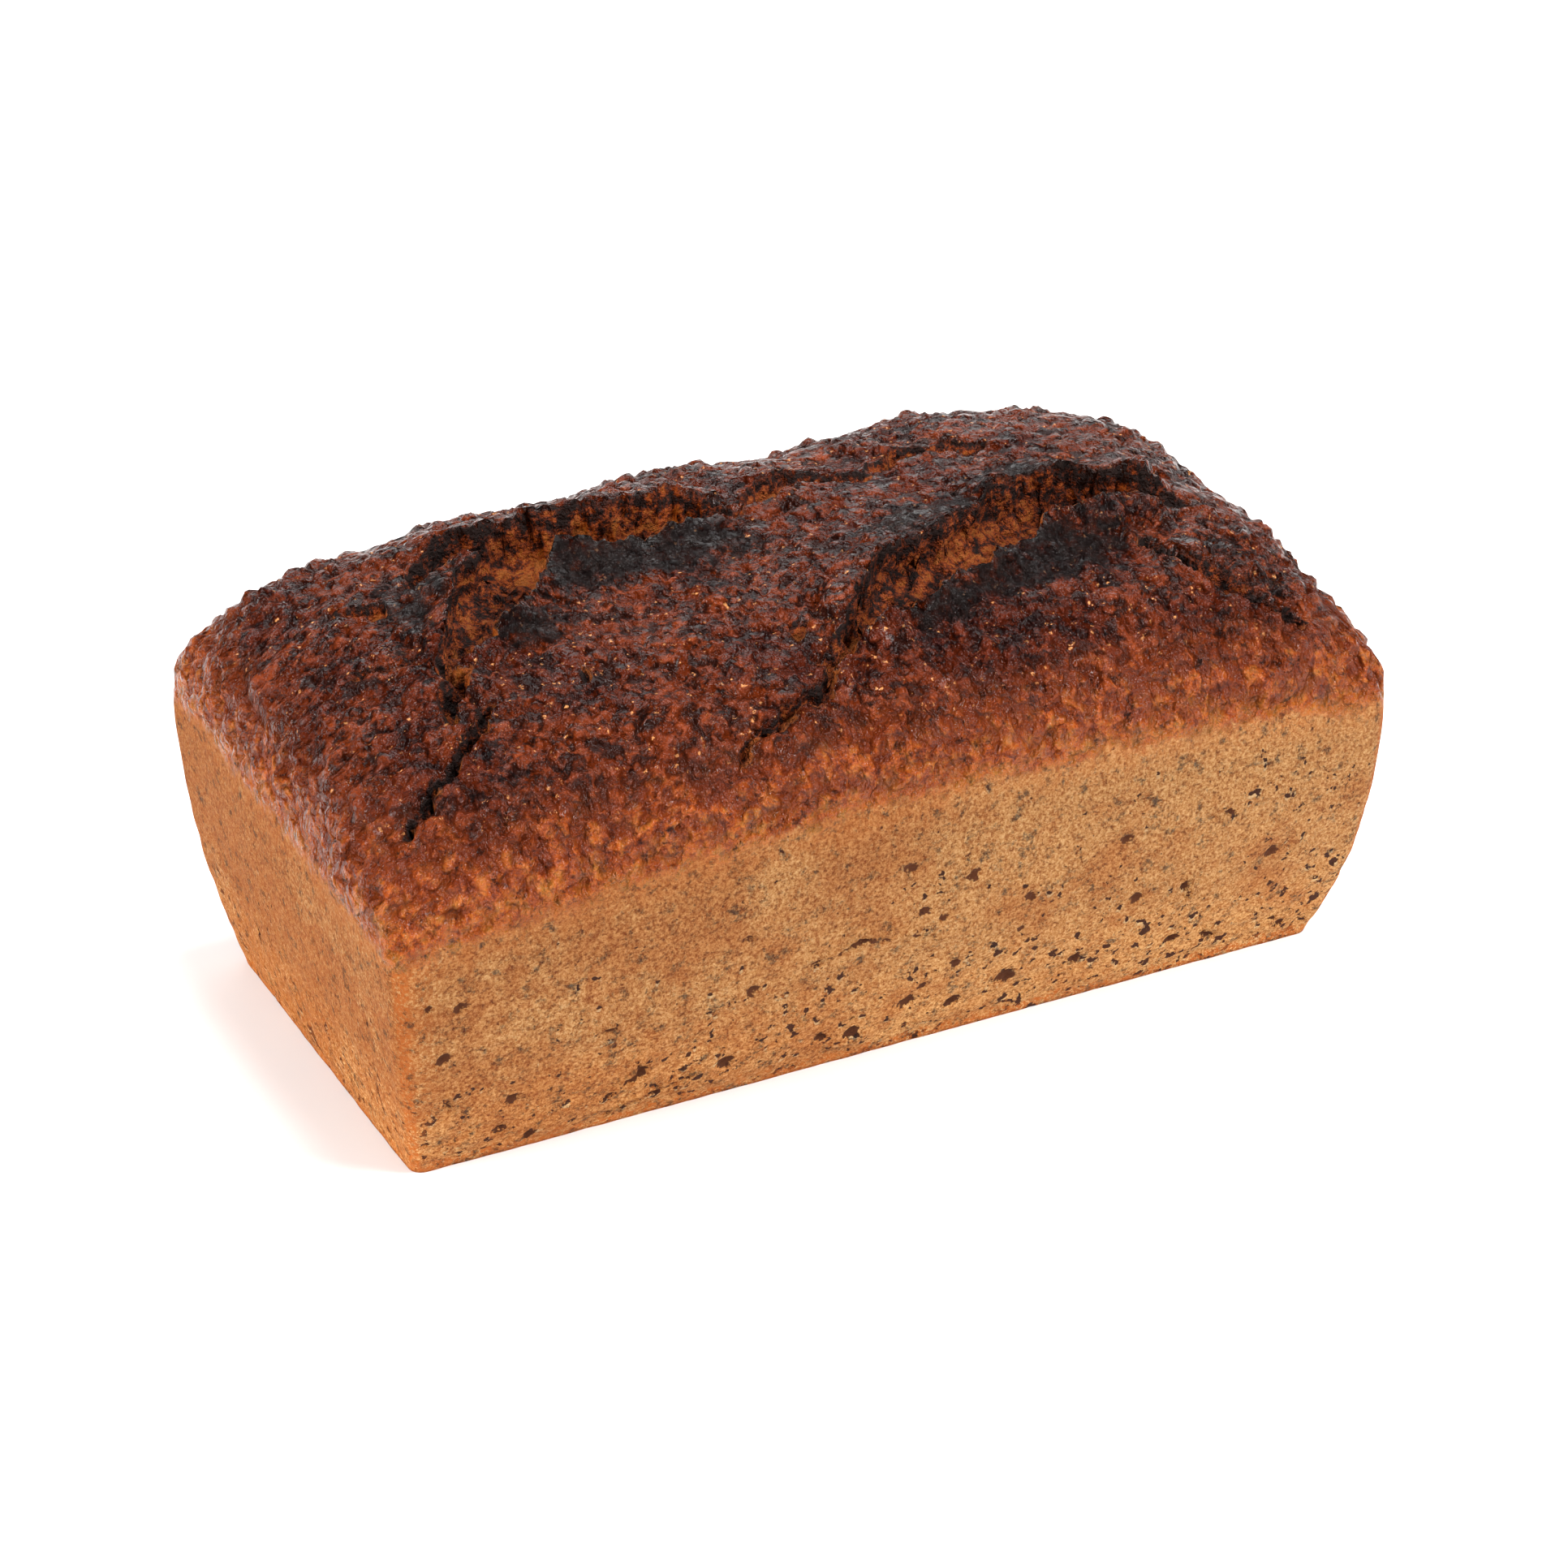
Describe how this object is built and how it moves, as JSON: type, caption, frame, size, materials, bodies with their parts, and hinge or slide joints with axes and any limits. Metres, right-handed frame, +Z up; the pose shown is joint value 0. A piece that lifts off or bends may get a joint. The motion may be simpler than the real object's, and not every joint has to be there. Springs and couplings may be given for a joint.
{
  "type": "tin loaf",
  "caption": "Whole dark bread baked in a rectangular tin, with flared smooth walls, a flat base and a domed top crust that has burst open in long splits.",
  "frame": {"origin": "middle of the flat base, at the bottom centre of the loaf's box", "axes": "+X along the loaf's length, +Y across it, +Z up from the base through the domed top"},
  "size_m": [0.23, 0.129, 0.0991],
  "materials": {
    "crust": "satin"
  },
  "bodies": {
    "root": {"loaf": "crust"}
  },
  "joints": []
}
